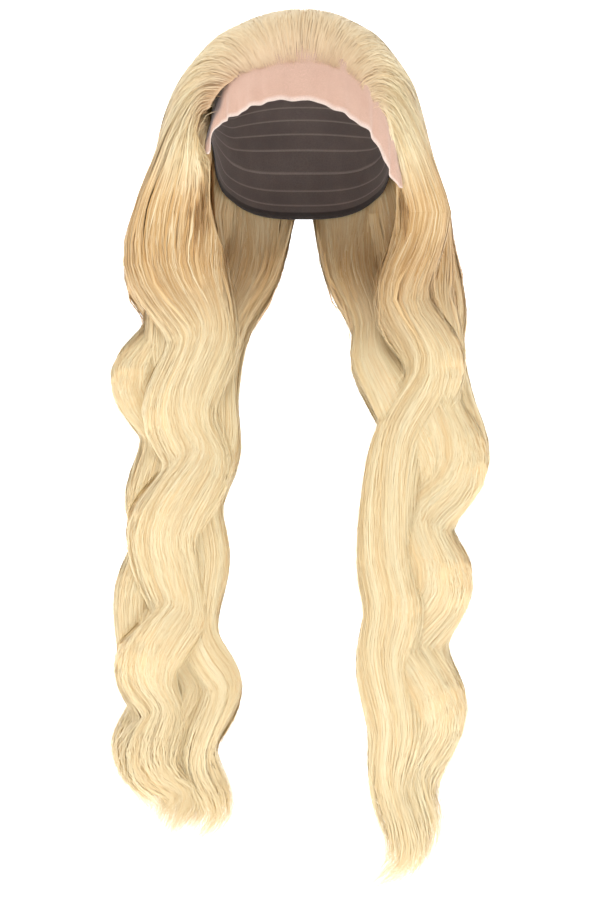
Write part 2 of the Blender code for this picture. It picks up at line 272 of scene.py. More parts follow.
def cap_sheet(edge, seam_gap, columns, rows, ruffle=0.0):
    """The cloth between a free edge and the seam over the head, ruffled at its free edge."""
    across = np.linspace(-EAR_ANGLE, EAR_ANGLE, columns)[:, None]
    share = np.linspace(0, 1, rows)[None, :]
    edge_up = read_table(edge, across)[..., 0]
    up = edge_up + (seam_up(across) + seam_gap - edge_up) * share
    turn = np.radians(across)
    waves = np.sin(turn * LONG_RUFFLE) + SHORT_RUFFLE_SIZE * np.sin(turn * SHORT_RUFFLE + 1)
    lift = lace_lift(across, up) + ruffle * waves * (1 - share) ** RUFFLE_FADE
    return head_point(across, up, lift + CLOTH / 2)


def thicken(obj, thickness):
    wall = obj.modifiers.new("cloth", "SOLIDIFY")
    wall.thickness = thickness
    wall.offset = 0
    return obj


WEFT_ROWS = 17
STITCH = (0.16, 0.06)
STITCH_STRENGTH = 0.6
ELASTIC = (0.035, 0.028)
NET_GREY = (0.10, 0.082, 0.078)
NET_GREY_WORN = (0.19, 0.155, 0.145)
THREAD_GREY = (0.34, 0.29, 0.27)
ELASTIC_GREY = (0.05, 0.042, 0.04)


def net_marks(nodes, links, colour, inward, _):
    """Rows of sewing where the wefts are held, and an elastic band round the edge."""
    rows = combine(nodes, links, "MULTIPLY", inward, float(WEFT_ROWS))
    row = combine(nodes, links, "FRACT", rows, 0.0)
    sewn = smooth_step(nodes, links, row, *STITCH)
    faint = combine(nodes, links, "MULTIPLY", sewn, STITCH_STRENGTH)
    colour = tint(nodes, links, colour, THREAD_GREY, faint)
    band = smooth_step(nodes, links, inward, *ELASTIC)
    return tint(nodes, links, colour, ELASTIC_GREY, band)


net_grey = cloth_material(
    "net_grey", NET_GREY, NET_GREY_WORN, alpha=1.0, hole_alpha=0.90, cells=150, add_marks=net_marks
)
net_points = cap_sheet(CAP_EDGE, SEAM_GAP_ANGLE, columns=97, rows=49)
net = grid_object("stretch_net", net_points, net_grey)
thicken(net, CLOTH)
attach(net, "root")
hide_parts("net_cap")


# The lace front. A sheer, skin-coloured hair lace runs from ear to ear, and single hairs are
# knotted into it. Its bare margin in front of the hairline is still uncut, thin and ruffled.
LACE_RUFFLE = 0.0014
LACE_RIM = (0.035, 0.0)
LACE_RIM_STRENGTH = 0.8
EAR_TAB_BESIDE = (0.195, 0.155)
EAR_TAB_ABOVE = (0.10, 0.22)
EAR_TAB_STRENGTH = 0.9
LACE_BEIGE = (0.66, 0.41, 0.31)
LACE_BEIGE_LIGHT = (0.74, 0.50, 0.39)
LACE_PALE = (0.90, 0.76, 0.68)
EAR_TAB_GREY = (0.22, 0.17, 0.17)


def lace_marks(nodes, links, colour, inward, along):
    """A paler, uncut rim, and the net's ear tab that shows through at the left temple."""
    rim = smooth_step(nodes, links, inward, *LACE_RIM)
    rim = combine(nodes, links, "MULTIPLY", rim, LACE_RIM_STRENGTH)
    colour = tint(nodes, links, colour, LACE_PALE, rim)
    beside = smooth_step(nodes, links, along, *EAR_TAB_BESIDE)
    above = smooth_step(nodes, links, inward, *EAR_TAB_ABOVE)
    tab = combine(nodes, links, "MULTIPLY", beside, above)
    tab = combine(nodes, links, "MULTIPLY", tab, EAR_TAB_STRENGTH)
    return tint(nodes, links, colour, EAR_TAB_GREY, tab)


lace_beige = cloth_material(
    "lace_beige",
    LACE_BEIGE,
    LACE_BEIGE_LIGHT,
    alpha=0.95,
    hole_alpha=0.76,
    cells=320,
    add_marks=lace_marks,
)
lace_points = cap_sheet(LACE_EDGE, 0.0, columns=161, rows=41, ruffle=LACE_RUFFLE)
lace = grid_object("lace_sheet", lace_points, lace_beige)
thicken(lace, CLOTH)
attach(lace, "root")
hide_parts("lace_front")


# The hair over the head. It is combed straight back from the hairline with no parting, over
# the wefts on the cap, and lies in fine overlapping strands that turn down at the sides.
CROWN_FORM = [
    # height, left, right, front, back
    (-0.190, 0.150, 0.126, 0.028, 0.092),
    (-0.150, 0.142, 0.123, 0.037, 0.106),
    (-0.110, 0.128, 0.111, 0.056, 0.117),
    (-0.070, 0.115, 0.099, 0.076, 0.119),
    (-0.044, 0.103, 0.090, 0.082, 0.109),
    (-0.019, 0.084, 0.073, 0.072, 0.091),
    (-0.006, 0.070, 0.061, 0.060, 0.076),
    (0.006, 0.047, 0.041, 0.043, 0.052),
    (0.013, 0.026, 0.023, 0.025, 0.030),
    (0.017, 0.003, 0.003, 0.003, 0.003),
]
CROWN_TOP = 0.0165
CROWN_RIM = -0.150
CROWN_BEND = 1.8
CROWN_ROUNDNESS = 0.92
CROWN_CENTRE = np.array([0.0, 0.005, -0.090])
SIDE_LIMIT = 0.99
FARTHEST_PUSH = 4
HEAD_END = -0.200
HEAD_END_EASE = 0.045
COMB_LEAN = 1.2
COMB_BACK = 0.6
COMB_REACH = 0.36
FACE_ANGLES = (-30, 35)
HAIRLINE = [
    # angle that its hair falls to, across, height
    (-180, -0.005, -0.030),
    (-155, -0.017, -0.031),
    (-130, -0.031, -0.034),
    (-105, -0.046, -0.037),
    (-85, -0.060, -0.042),
    (-66, -0.071, -0.049),
    (-52, -0.079, -0.059),
    (-40, -0.084, -0.069),
    (-30, -0.087, -0.080),
    (35, 0.064, -0.080),
    (50, 0.058, -0.067),
    (65, 0.051, -0.056),
    (85, 0.044, -0.046),
    (105, 0.035, -0.038),
    (130, 0.023, -0.033),
    (155, 0.010, -0.030),
    (180, -0.005, -0.030),
]


def crown_surface(angle, height):
    """Points on the hair over the head, at an angle round the head from the face."""
    left, right, front, back = np.moveaxis(read_table(CROWN_FORM, height), -1, 0)
    turn = np.radians(angle)
    x = np.where(np.sin(turn) > 0, right, left) * signed_power(np.sin(turn), CROWN_ROUNDNESS)
    y = -np.where(np.cos(turn) > 0, front, back) * signed_power(np.cos(turn), CROWN_ROUNDNESS)
    return together(x, y, height)


def rim_points(angle):
    return crown_surface(angle, np.full_like(angle, CROWN_RIM))


def to_disc(across, height):
    """The place on a flat map of the crown, with the top in its middle and the rim at 1, of
    points on its front that are seen across and at a height."""
    radius = ((CROWN_TOP - height) / (CROWN_TOP - CROWN_RIM)) ** (1 / CROWN_BEND)
    left, right, _, _ = np.moveaxis(read_table(CROWN_FORM, height), -1, 0)
    reach = np.where(across > 0, right, left)
    sine = signed_power(np.clip(across / reach, -SIDE_LIMIT, SIDE_LIMIT), 1 / CROWN_ROUNDNESS)
    return np.stack([radius * sine, radius * np.sqrt(1 - sine**2)], axis=-1)


def from_disc(place):
    """The points on the crown at places on that map."""
    radius = np.linalg.norm(place, axis=-1)
    height = CROWN_TOP - (CROWN_TOP - CROWN_RIM) * radius**CROWN_BEND
    angle = np.degrees(np.arctan2(place[..., 0], place[..., 1]))
    return crown_surface(angle, height)


def unit(vectors):
    return vectors / np.maximum(np.linalg.norm(vectors, axis=-1, keepdims=True), 1e-9)


def clear_of_head(points, clear):
    """Moves points that lie inside the head level outwards, on to the cap."""
    height = points[..., 2] + HEAD_HALF[2]
    depth = (HEAD_HALF[1] + clear) * np.where(points[..., 1] > 0, nape_tuck(-height), 1.0)
    taken = np.abs(points[..., 0] / (HEAD_HALF[0] + clear)) ** HEAD_SQUARENESS
    taken = taken + np.abs(points[..., 1] / depth) ** HEAD_SQUARENESS
    room = np.clip(1 - np.abs(height / (HEAD_HALF[2] + clear)) ** HEAD_SQUARENESS, 1e-6, 1)
    push = np.maximum((room / np.maximum(taken, 1e-6)) ** (1 / HEAD_SQUARENESS), 1)
    beside = ease((points[..., 2] - HEAD_END) / HEAD_END_EASE)
    push = 1 + (np.minimum(push, FARTHEST_PUSH) - 1) * beside
    return points * np.stack([push, push, np.ones_like(push)], axis=-1)


def comb(first, angle, t):
    """Places on the map of the crown along hair that is combed back from the hairline and
    then down to the rim. Also gives the direction square to each comb line."""
    last = np.stack([np.sin(np.radians(angle)), np.cos(np.radians(angle))], axis=-1)
    length = np.linalg.norm(last - first, axis=-1, keepdims=True)
    towards = unit(last - first)
    back = unit(together(first[:, 0] * COMB_LEAN, -1.0))
    one = first + unit(back * COMB_BACK + towards * (1 - COMB_BACK)) * length * COMB_REACH
    two = last * (1 - COMB_REACH * length)
    u = t[..., None]
    place = (
        first[:, None] * (1 - u) ** 3
        + 3 * one[:, None] * u * (1 - u) ** 2
        + 3 * two[:, None] * u**2 * (1 - u)
        + last[:, None] * u**3
    )
    return place, np.stack([-towards[:, 1], towards[:, 0]], axis=-1)[:, None]


LIGHT = (0.92, 0.80, 0.53)
GOLDEN = (0.82, 0.60, 0.30)
ROOT = (0.70, 0.46, 0.29)
PAINTED_SHADE_GOLD = (0.58, 0.34, 0.13)
# The hair under the strands, in the crown's base, the cores and the veils, is a darker, more
# golden copy of the hair: painted shade for the depth of the hair.
SHADED_UNDER_PALE = (0.90, 0.72, 0.42)
SHADED_UNDER_GOLDEN = (0.84, 0.63, 0.34)
STREAK_SPAN = (0.45, 1.35)
# Where the root's brown ends, and where the painted shade of dark gold starts and is full, up and
# down the map, in the streaks and from the back of the wig to its front.
ROOT_END = 0.07
ROOT_STRENGTH = 0.7
PAINTED_SHADE_START = (0.12, 0.21)
PAINTED_SHADE_END = (0.42, 0.27)
PAINTED_SHADE_STREAKS = (0.80, 0.36)
PAINTED_SHADE_BACK = (0.10, 0.03)
PAINTED_SHADE_BEHIND = 0.35


def hair_material(name, light, golden, roughness, streak_count):
    """Hair whose colour is read from its own map: each strand has its own place across the
    map, the golden ones first, and runs from its root to its tip up the map. It is brownish at
    its root, and painted shade of dark gold lies at ear level and a little below it, most of all
    in front."""
    material, nodes, links, shader, place, apart = mapped_material(name)
    shader.inputs["Roughness"].default_value = roughness
    shader.inputs["Specular IOR Level"].default_value = 0.35
    stretch = nodes.new("ShaderNodeMapping")
    stretch.inputs["Scale"].default_value = (streak_count, 1.3, 1)
    links.new(place, stretch.inputs["Vector"])
    streaks = nodes.new("ShaderNodeTexNoise")
    streaks.inputs["Scale"].default_value = 1.0
    streaks.inputs["Detail"].default_value = 4
    links.new(stretch.outputs["Vector"], streaks.inputs["Vector"])
    streak = streaks.outputs["Fac"]
    lighter = combine(nodes, links, "ADD", streak, apart["X"])
    lighter = graded(nodes, links, lighter, STREAK_SPAN, (0, 1))
    base = tint(nodes, links, plain_colour(nodes, golden), light, lighter)
    spot = nodes.new("ShaderNodeTexCoord")
    spot_apart = nodes.new("ShaderNodeSeparateXYZ")
    links.new(spot.outputs["Object"], spot_apart.inputs["Vector"])
    # Painted shade: dark gold where the hair hangs below the crown, strongest in front and patchy
    # with the streaks.
    in_front = smooth_step(nodes, links, spot_apart.outputs["Y"], *PAINTED_SHADE_BACK)
    in_front = combine(nodes, links, "MAXIMUM", in_front, PAINTED_SHADE_BEHIND)
    below = smooth_step(nodes, links, apart["Y"], *PAINTED_SHADE_START)
    above = smooth_step(nodes, links, apart["Y"], *PAINTED_SHADE_END)
    patchy = smooth_step(nodes, links, streak, *PAINTED_SHADE_STREAKS)
    share = below
    for factor in (above, patchy, in_front):
        share = combine(nodes, links, "MULTIPLY", share, factor)
    base = tint(nodes, links, base, PAINTED_SHADE_GOLD, share)
    rooted = graded(nodes, links, apart["Y"], (0, ROOT_END), (ROOT_STRENGTH, 0))
    base = tint(nodes, links, base, ROOT, rooted)
    links.new(base, shader.inputs["Base Color"])
    return material


BASE_LINES = 150
BASE_STEPS = 30
BASE_BEHIND = 13
BASE_REACH = 0.975
BASE_RAGGED = 0.045
BASE_DEPTH = 0.0018
BASE_ROOT = 0.20
BASE_ROOT_DEPTH = 0.008
BASE_TURN_IN = 0.7
BASE_SUNK = 0.011
BASE_ON_LACE = 0.0002
BASE_ON_CAP = 0.0022
BASE_LACE_END = (0.04, 0.24)
BASE_THICK = 0.0012
ALONG_CROWN = 0.22
hair = hair_material("hair", LIGHT, GOLDEN, roughness=0.45, streak_count=90)
# A darker copy of the hair, as painted shade under the strands.
shaded_under_hair = hair_material(
    "shaded_under_hair", SHADED_UNDER_PALE, SHADED_UNDER_GOLDEN, roughness=0.55, streak_count=420
)
draw = np.random.default_rng(7)

turns = 360 - FACE_ANGLES[1] + FACE_ANGLES[0] - 2 * BASE_BEHIND
angle = FACE_ANGLES[1] + BASE_BEHIND + turns * np.linspace(0, 1, BASE_LINES)
angle = np.where(angle > 180, angle - 360, angle)
root = read_table(HAIRLINE, angle)
reach = BASE_REACH - BASE_RAGGED * draw.uniform(0, 1, BASE_LINES)
t = reach[:, None] * np.linspace(0, 1, BASE_STEPS)[None, :]
place, _ = comb(to_disc(root[:, 0], root[:, 1]), angle, t)
surface = from_disc(place)
depth = BASE_DEPTH + BASE_ROOT_DEPTH * (1 - rise(t, 0, BASE_ROOT))
depth = depth + BASE_SUNK * rise(t, BASE_TURN_IN, 1)
points = surface - unit(surface - CROWN_CENTRE) * depth[..., None]
points = clear_of_head(points, BASE_ON_LACE + BASE_ON_CAP * rise(t, *BASE_LACE_END))
spots = together(np.linspace(0, 1, BASE_LINES)[:, None], ALONG_CROWN * t)
crown_base = grid_object("crown_base", points, shaded_under_hair, spots)
thicken(crown_base, BASE_THICK).modifiers["cloth"].offset = -1
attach(crown_base, "root")
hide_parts("hair_crown")


# The locks below. The wefts' hair falls behind the ears, comes forward in two falls and is set
# in body waves. Each lock has its own folds, a dense core, and strands with an uncut tip.
LOCK_TOP = -0.130
SETTLED = -0.330
SWAY_THROUGH = 0.35
WAVE_LENGTH = 0.100
TIP_FLATNESS = 0.75
TIP_DEPTH = 0.004
HOOK = 0.010
HOOK_LENGTH = 0.05
FALL_BACK = [
    # height, back
    (-0.700, -0.048),
    (-0.550, -0.050),
    (-0.430, -0.040),
    (-0.330, -0.020),
    (-0.250, 0.002),
    (-0.150, 0.020),
]
LOCKS = {
    # name: side, back, layer, depth
    "left_front": ("left", -0.012, -0.012, 0.0201),
    "left_middle": ("left", 0.022, 0.002, 0.018),
    "left_outer": ("left", 0.042, 0.012, 0.0201),
    "left_nape": ("left", 0.083, 0.000, 0.018),
    "left_back": ("left", 0.074, 0.022, 0.018),
    "right_front": ("right", -0.012, -0.012, 0.0191),
    "right_middle": ("right", 0.018, -0.004, 0.0201),
    "right_outer": ("right", 0.048, 0.012, 0.0201),
    "right_nape": ("right", 0.083, 0.000, 0.018),
    "right_back": ("right", 0.074, 0.022, 0.018),
}
FOLDS = {
    # height, out, width
    "left_front": [
        (-0.654, 0.108, 0.007),
        (-0.631, 0.100, 0.017),
        (-0.590, 0.128, 0.025),
        (-0.561, 0.116, 0.021),
        (-0.514, 0.127, 0.026),
        (-0.478, 0.101, 0.023),
        (-0.440, 0.109, 0.028),
        (-0.405, 0.113, 0.029),
        (-0.359, 0.086, 0.029),
        (-0.312, 0.101, 0.031),
        (-0.254, 0.083, 0.030),
        (-0.193, 0.105, 0.041),
        (-0.143, 0.100, 0.036),
    ],
    "left_middle": [
        (-0.662, 0.098, 0.006),
        (-0.629, 0.092, 0.016),
        (-0.583, 0.110, 0.021),
        (-0.546, 0.096, 0.022),
        (-0.500, 0.114, 0.024),
        (-0.455, 0.099, 0.025),
        (-0.400, 0.106, 0.025),
        (-0.330, 0.094, 0.025),
        (-0.270, 0.106, 0.026),
        (-0.200, 0.100, 0.028),
        (-0.143, 0.100, 0.030),
    ],
    "left_outer": [
        (-0.648, 0.110, 0.006),
        (-0.629, 0.118, 0.013),
        (-0.591, 0.136, 0.021),
        (-0.554, 0.120, 0.021),
        (-0.504, 0.131, 0.022),
        (-0.463, 0.132, 0.022),
        (-0.425, 0.118, 0.022),
        (-0.388, 0.123, 0.023),
        (-0.337, 0.111, 0.023),
        (-0.290, 0.133, 0.027),
        (-0.245, 0.109, 0.022),
        (-0.205, 0.124, 0.026),
        (-0.143, 0.112, 0.026),
    ],
    "left_nape": [
        (-0.667, 0.082, 0.006),
        (-0.647, 0.070, 0.013),
        (-0.620, 0.079, 0.016),
        (-0.587, 0.088, 0.017),
        (-0.540, 0.069, 0.019),
        (-0.494, 0.089, 0.019),
        (-0.434, 0.084, 0.024),
        (-0.388, 0.088, 0.022),
        (-0.347, 0.074, 0.022),
        (-0.301, 0.078, 0.024),
        (-0.250, 0.068, 0.022),
        (-0.205, 0.052, 0.030),
        (-0.143, 0.040, 0.034),
    ],
    "left_back": [
        (-0.610, 0.100, 0.008),
        (-0.540, 0.108, 0.020),
        (-0.480, 0.094, 0.023),
        (-0.420, 0.104, 0.023),
        (-0.360, 0.092, 0.024),
        (-0.300, 0.104, 0.025),
        (-0.240, 0.090, 0.026),
        (-0.143, 0.086, 0.030),
    ],
    "right_front": [
        (-0.703, 0.060, 0.004),
        (-0.690, 0.080, 0.010),
        (-0.662, 0.086, 0.016),
        (-0.614, 0.072, 0.018),
        (-0.566, 0.076, 0.024),
        (-0.514, 0.067, 0.024),
        (-0.470, 0.074, 0.025),
        (-0.438, 0.068, 0.024),
        (-0.392, 0.069, 0.023),
        (-0.338, 0.080, 0.024),
        (-0.278, 0.109, 0.024),
        (-0.224, 0.083, 0.022),
        (-0.168, 0.096, 0.022),
        (-0.143, 0.098, 0.024),
    ],
    "right_middle": [
        (-0.683, 0.106, 0.006),
        (-0.662, 0.098, 0.016),
        (-0.612, 0.084, 0.024),
        (-0.554, 0.105, 0.028),
        (-0.508, 0.080, 0.028),
        (-0.453, 0.110, 0.028),
        (-0.409, 0.094, 0.028),
        (-0.356, 0.124, 0.028),
        (-0.309, 0.108, 0.024),
        (-0.264, 0.112, 0.022),
        (-0.218, 0.103, 0.022),
        (-0.168, 0.106, 0.018),
        (-0.143, 0.102, 0.018),
    ],
    "right_outer": [
        (-0.650, 0.104, 0.007),
        (-0.616, 0.096, 0.016),
        (-0.554, 0.113, 0.021),
        (-0.504, 0.099, 0.020),
        (-0.453, 0.116, 0.023),
        (-0.409, 0.100, 0.022),
        (-0.351, 0.128, 0.025),
        (-0.301, 0.119, 0.022),
        (-0.262, 0.113, 0.021),
        (-0.226, 0.116, 0.021),
        (-0.168, 0.106, 0.020),
        (-0.143, 0.104, 0.020),
    ],
    "right_nape": [
        (-0.679, 0.100, 0.006),
        (-0.660, 0.090, 0.013),
        (-0.622, 0.082, 0.018),
        (-0.591, 0.098, 0.020),
        (-0.552, 0.108, 0.024),
        (-0.510, 0.084, 0.025),
        (-0.471, 0.088, 0.026),
        (-0.430, 0.085, 0.026),
        (-0.396, 0.101, 0.025),
        (-0.356, 0.108, 0.029),
        (-0.313, 0.082, 0.024),
        (-0.276, 0.061, 0.021),
        (-0.247, 0.059, 0.018),
        (-0.205, 0.046, 0.026),
        (-0.143, 0.040, 0.032),
    ],
    "right_back": [
        (-0.620, 0.084, 0.008),
        (-0.550, 0.094, 0.021),
        (-0.490, 0.082, 0.023),
        (-0.430, 0.098, 0.023),
        (-0.370, 0.094, 0.026),
        (-0.310, 0.096, 0.025),
        (-0.240, 0.086, 0.026),
        (-0.143, 0.080, 0.028),
    ],
}
SIDE_SIGN = {"left": -1, "right": 1}
WANDER_OCTAVES = (1.0, 0.55)
WANDER_PACES = (0.7, 1.4)
BUNCHES = 9
BUNCH_HEIGHT = 0.045
BUNCH_SWING = 1.2
BUNCH_PACE = 9
WINDING = 0.20
WINDING_PACE = 14
WINDING_SHIFT = 2.1
SMALL_WINDING = 0.07
SMALL_WINDING_PACE = 23
WAVE_LAG = 0.0045
LAG_LENGTH = 0.10


def tip_height(name):
    return FOLDS[name][0][0]


def lock_centre(name, height, lag=0.0):
    """The middle line of a lock. It swings forwards and back a quarter wave behind its folds."""
    side, start_back, layer, _ = LOCKS[name]
    out = read_table(FOLDS[name], height + lag)[..., 0]
    fall_back = read_table(FALL_BACK, height)[..., 0] + layer
    settle = rise(height, LOCK_TOP, SETTLED)
    swing = read_table(FOLDS[name], height + lag + WAVE_LENGTH / 4)[..., 0] - out
    back = start_back + (fall_back - start_back) * settle + SWAY_THROUGH * swing * settle
    tip = tip_height(name)
    hooked = HOOK * rise(height, tip + HOOK_LENGTH, tip) ** 2
    return together(SIDE_SIGN[side] * out - hooked, back, height)


def lock_points(name, height, turn, full, lag=0.0):
    """Points in a lock: turn is the angle round its section, full the share of its radius.
    Also gives the direction that points out of the lock there."""
    step = 0.004
    centre = lock_centre(name, height, lag)
    along = unit(lock_centre(name, height - step, lag) - lock_centre(name, height + step, lag))
    level = np.array([1.0, 0.0, 0.0])
    square = unit(level - along * along[..., :1])
    across = unit(level + square)
    through = unit(np.cross(along, across))
    width = read_table(FOLDS[name], height)[..., 1]
    depth = np.minimum(LOCKS[name][3], TIP_FLATNESS * width + TIP_DEPTH)
    cos_turn, sin_turn = np.cos(turn)[..., None], np.sin(turn)[..., None]
    points = (
        centre
        + across * cos_turn * (full * width)[..., None]
        + through * sin_turn * (full * depth)[..., None]
    )
    outward = unit(across * cos_turn * depth[..., None] + through * sin_turn * width[..., None])
    return points, outward


def wander(count, keys, size, length):
    """A smooth random curve for each of many strands, over the keys."""
    total = 0
    for octave in WANDER_OCTAVES:
        pace = 2 * np.pi / (length * octave * draw.uniform(*WANDER_PACES, (count, 1)))
        phase = draw.uniform(0, 2 * np.pi, (count, 1))
        total = total + octave * np.sin(keys * pace + phase)
    return total * size / sum(WANDER_OCTAVES)


def gather(name, turn, height):
    """Gathers the hair of a lock in bunches that wind slowly round it. Gives the turn to which
    hair has wound at a height, how far it stands out (0 to 1), and how far its wave lags."""
    key = list(LOCKS).index(name)
    winding = WINDING * np.sin(turn + WINDING_PACE * height + WINDING_SHIFT * key)
    winding = winding + SMALL_WINDING * np.sin(2 * turn - SMALL_WINDING_PACE * height + key)
    bunch = BUNCHES * turn + BUNCH_SWING * np.sin(BUNCH_PACE * height + key)
    ridge = 0.5 + 0.5 * np.cos(bunch)
    lag = WAVE_LAG * np.sin(3 * turn + key) * ease((CROWN_RIM - height) / LAG_LENGTH)
    return turn + winding, ridge, lag


CORE_SIDES = 54
CORE_LEVELS = 62
CORE_TOP = -0.146
CORE_SHORT = 0.018
CORE_FULL = 0.965
CORE_POINT = 0.11
CORE_NECK = 0.045
CORE_NECK_FULL = 0.65
ON_HEAD = 0.0030


def lock_core(name):
    """The dense inside of a lock, closed round and narrowed at both ends."""
    end = tip_height(name) + CORE_SHORT
    share = np.linspace(0, 1, CORE_LEVELS)[:, None]
    turn = np.linspace(0, 2 * np.pi, CORE_SIDES + 1)[None, :]
    height = CORE_TOP + (end - CORE_TOP) * share + 0 * turn
    wound, ridge, lag = gather(name, turn, height)
    full = (CORE_FULL + BUNCH_HEIGHT * ridge) * ease((height - end) / CORE_POINT) ** 0.5
    neck = ease((CORE_TOP - height) / CORE_NECK)
    full = full * (CORE_NECK_FULL + (1 - CORE_NECK_FULL) * neck)
    points, _ = lock_points(name, height, wound, full, lag)
    points = clear_of_head(points, ON_HEAD)
    spots = together(turn / (2 * np.pi), ALONG_CROWN + (1 - ALONG_CROWN) * share)
    return grid_object(f"core_{name}", points, shaded_under_hair, spots, closed=True)


STRANDS_A_LOCK = 760
FALL_STEPS = 38
STRAND_FULL = 0.985
PAST_TIP = 0.006
TIP_UNEVEN = 0.011
TIP_SHORTEST = 0.10
FULL_SPREAD = 0.012
STRAY_SHARE = 0.20
STRAY_REACH = (0.0020, 0.0075)
# How far strands wander, and over which length: round the lock, in and out, and as strays.
TURN_WANDER = (0.06, 0.14)
FULL_WANDER = (0.010, 0.10)
STRAY_WANDER = (1.0, 0.16)
STRAY_LEAVES = 0.12
FLARE = 0.0035
FLARE_START = 0.82
# How much lighter strands on the bunches' ridges are than those sunk in the grooves: painted
# shade.
RIDGE_PAINTED_SHADE = (0.42, 0.3)
SHADE_SPREAD = 0.15
SHADE_ENDS = (0.02, 0.98)


def lock_strands(name, count):
    """The paths of a lock's strands, from the crown's rim down to the tip."""
    start_turn = draw.uniform(0, 2 * np.pi, count)[:, None]
    shorter = draw.exponential(TIP_UNEVEN, count).clip(0, TIP_SHORTEST)
    end = tip_height(name) - PAST_TIP + shorter
    share = np.linspace(0, 1, FALL_STEPS)[None, :]
    height = CROWN_RIM + (end[:, None] - CROWN_RIM) * share
    turn, ridge, lag = gather(name, start_turn, height)
    turn = turn + wander(count, height, *TURN_WANDER)
    full = STRAND_FULL + BUNCH_HEIGHT * ridge + draw.normal(0, FULL_SPREAD, (count, 1))
    full = full + wander(count, height, *FULL_WANDER)
    points, outward = lock_points(name, height, turn, full, lag)
    is_stray = draw.uniform(0, 1, count) < STRAY_SHARE
    stray = is_stray * draw.uniform(*STRAY_REACH, count)
    away = np.abs(wander(count, height, *STRAY_WANDER)) * stray[:, None]
    points = points + outward * (away * rise(share, 0, STRAY_LEAVES))[..., None]
    flare = draw.normal(0, FLARE, (count, 1, 3)) * rise(share, FLARE_START, 1)[..., None]
    points = clear_of_head(points + flare, ON_HEAD)
    # Strands sunk in the grooves between bunches take the golden end of the map as painted shade;
    # each strand's tone also differs at random.
    shade = RIDGE_PAINTED_SHADE[0] + RIDGE_PAINTED_SHADE[1] * ridge[:, 0] + draw.normal(0, SHADE_SPREAD, count)
    return points, outward, np.clip(shade, *SHADE_ENDS), is_stray


# The same hair over the crown. From the rim it is followed back up to its knot on the lace or
# the weft that it is sewn with, in overlapping layers.
CROWN_STEPS = 15
DEEP = 0.014
ROOT_SCATTER = (0.003, 0.0012)
ROOTED_BEHIND = 0.6
DEEP_ROOTS = (0.55, 0.75)
CROWN_WANDER = (0.012, 0.5)
LAYER = 0.0018
SUNK_ROOT = 0.0035
SUNK_LENGTH = 0.08
HAIRLINE_DEPTH = 0.006
HAIRLINE_LENGTH = 0.16
STRAND_ON_LACE = 0.0014
STRAND_ON_CAP = 0.0016
LACE_END = (0.05, 0.25)
OFFSET_FROM = 0.09
DEEP_OFFSET_FROM = 0.2
DEEP_OFFSET_OVER = 0.14


def rim_angles(points):
    """The angles round the head at which the crown's rim is nearest to points."""
    angles = np.linspace(-180, 180, 1441)
    rim = rim_points(angles)
    gaps = np.linalg.norm(points[:, None, :2] - rim[None, :, :2], axis=-1)
    nearest = angles[gaps.argmin(axis=1)]
    by_side = np.where(points[:, 0] > 0, FACE_ANGLES[1], FACE_ANGLES[0])
    in_face = (nearest > FACE_ANGLES[0]) & (nearest < FACE_ANGLES[1])
    return np.where(in_face, by_side, nearest)


def crown_strands(end, end_out):
    """The same strands before the rim, over the crown from the hairline. Half of them start
    farther back, on the wefts. Those that hang deep inside the fall start behind the ear or on
    the back of the cap instead."""
    count = len(end)
    angle = rim_angles(end)
    offset = end - rim_points(angle)
    deep = np.linalg.norm(offset, axis=-1) > DEEP
    root = read_table(HAIRLINE, angle)
    root = root + draw.normal(0, 1, (count, 2)) * np.array(ROOT_SCATTER)
    at_hairline = draw.uniform(0, 1, count) < 0.5
    start = np.where(at_hairline, 0.0, draw.uniform(0.0, ROOTED_BEHIND, count))
    start = np.where(deep, draw.uniform(*DEEP_ROOTS, count), start)[:, None]
    t = start + (1 - start) * np.linspace(0, 1, CROWN_STEPS)[None, :]
    place, side = comb(to_disc(root[:, 0], root[:, 1]), angle, t)
    waver = wander(count, t, *CROWN_WANDER) * rise(t, 0, 0.25) * rise(t, 1, 0.75)
    surface = from_disc(place + side * waver[..., None])
    out = unit(surface - CROWN_CENTRE)
    layer = draw.uniform(0.0, LAYER, count)[:, None]
    sunk = SUNK_ROOT * (1 - ease((t - start) / SUNK_LENGTH)) * (start > 0)
    under = HAIRLINE_DEPTH * (1 - rise(t, 0, HAIRLINE_LENGTH))
    depth = (layer + sunk + under) * rise(t, 1, 0.8)
    above_rim = surface[..., 2] - CROWN_RIM
    weight = ease((OFFSET_FROM - above_rim) / OFFSET_FROM)
    deep_weight = ease((DEEP_OFFSET_FROM - above_rim) / DEEP_OFFSET_OVER)
    weight = np.where(deep[:, None], deep_weight, weight)[..., None]
    points = surface - out * depth[..., None] + offset[:, None] * weight
    out = unit(out * (1 - weight) + end_out[:, None] * weight)
    clear = STRAND_ON_LACE + STRAND_ON_CAP * rise(t, *LACE_END)
    return clear_of_head(points, clear), out, t


TAPER_ROOT = 0.02
TAPER_TIP = 0.10
ROOT_FINE = 0.15
TIP_FINE = 0.05
RIM_SPREAD = 1.3
RIM_SPREAD_LENGTH = 0.12


def taper(along):
    """How wide strands are along their length. They are widest where they leave the crown."""
    spread = 1 + RIM_SPREAD * ease(1 - np.abs(along - ALONG_CROWN) / RIM_SPREAD_LENGTH)
    at_root = ease(ROOT_FINE + along / TAPER_ROOT)
    return spread * at_root * ease(TIP_FINE + (1 - along) / TAPER_TIP)


HALF_STRAND_ON_MAP = 0.006


def tilted(paths, outward, tilt):
    """The way that each flat strand faces, turned a little about its own length."""
    return unit(outward + np.cross(unit(np.gradient(paths, axis=1)), outward) * tilt)


